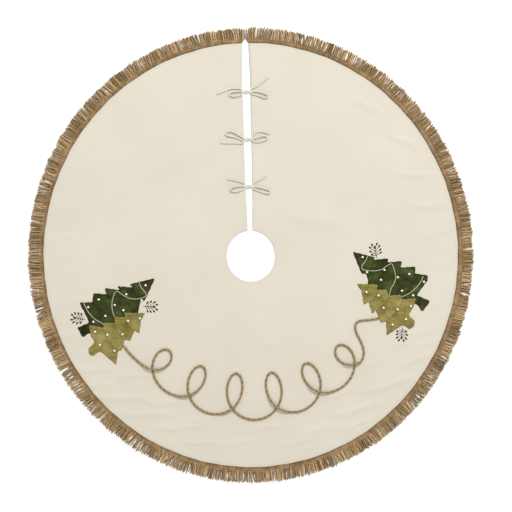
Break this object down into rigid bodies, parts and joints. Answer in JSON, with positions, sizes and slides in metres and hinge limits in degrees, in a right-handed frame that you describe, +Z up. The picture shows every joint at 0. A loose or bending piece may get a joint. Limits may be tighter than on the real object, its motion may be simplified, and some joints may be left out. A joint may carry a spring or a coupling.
{
  "type": "tree skirt",
  "caption": "Round lined tree skirt with a centre hole, a tied slit, a yarn fringe, appliqued trees and a looped rope; it folds in half.",
  "frame": {"origin": "centre of the skirt on the surface it lies on", "axes": "+Z up; +Y from the centre along the slit; +X to the right seen from above with the slit away from the viewer"},
  "size_m": [1.2046, 1.2316, 0.0159],
  "materials": {
    "linen_face": "woven, matte",
    "cotton_lining": "plain weave, matte",
    "woven_header": "woven, matte",
    "fringe_yarn": "twisted yarn, matte",
    "dark_velvet": "velvet pile",
    "olive_velvet": "velvet pile",
    "garland_thread": "satin thread",
    "pearl_bead": "pearl gloss",
    "embroidery_floss": "satin floss",
    "jute_rope": "twisted, matte",
    "cotton_cord": "twisted cotton, matte"
  },
  "bodies": {
    "right_half": {"bead_10": "pearl_bead", "bead_11": "pearl_bead", "bead_12": "pearl_bead", "bead_13": "pearl_bead", "bead_14": "pearl_bead", "bead_15": "pearl_bead", "bead_16": "pearl_bead", "bead_17": "pearl_bead", "bead_18": "pearl_bead", "bead_26": "pearl_bead", "bead_27": "pearl_bead", "bead_28": "pearl_bead", "bead_29": "pearl_bead", "bead_30": "pearl_bead", "bead_31": "pearl_bead", "bead_32": "pearl_bead", "dark_tree_right": "dark_velvet", "fringe_header_right": "woven_header", "fringe_right": "fringe_yarn", "garland_lower_right": "garland_thread", "garland_upper_right": "garland_thread", "light_tree_right": "olive_velvet", "lining_right": "cotton_lining", "rope_right": "jute_rope", "shell_right": "linen_face", "sprig_lower_right": "embroidery_floss", "sprig_upper_right": "embroidery_floss", "tie_right_1": "cotton_cord", "tie_right_2": "cotton_cord", "tie_right_3": "cotton_cord"},
    "left_half": {"bead_01": "pearl_bead", "bead_02": "pearl_bead", "bead_03": "pearl_bead", "bead_04": "pearl_bead", "bead_05": "pearl_bead", "bead_06": "pearl_bead", "bead_07": "pearl_bead", "bead_08": "pearl_bead", "bead_09": "pearl_bead", "bead_19": "pearl_bead", "bead_20": "pearl_bead", "bead_21": "pearl_bead", "bead_22": "pearl_bead", "bead_23": "pearl_bead", "bead_24": "pearl_bead", "bead_25": "pearl_bead", "dark_tree_left": "dark_velvet", "fringe_header_left": "woven_header", "fringe_left": "fringe_yarn", "garland_lower_left": "garland_thread", "garland_upper_left": "garland_thread", "light_tree_left": "olive_velvet", "lining_left": "cotton_lining", "rope_left": "jute_rope", "shell_left": "linen_face", "sprig_inner_left": "embroidery_floss", "sprig_outer_left": "embroidery_floss", "tie_left_1": "cotton_cord", "tie_left_2": "cotton_cord", "tie_left_3": "cotton_cord"}
  },
  "joints": [
    {"name": "fold", "type": "hinge", "parent": "right_half", "child": "left_half", "pos_m": [0, 0, 0.016], "axis": [0, 1, 0], "range_deg": [0, 179]}
  ]
}
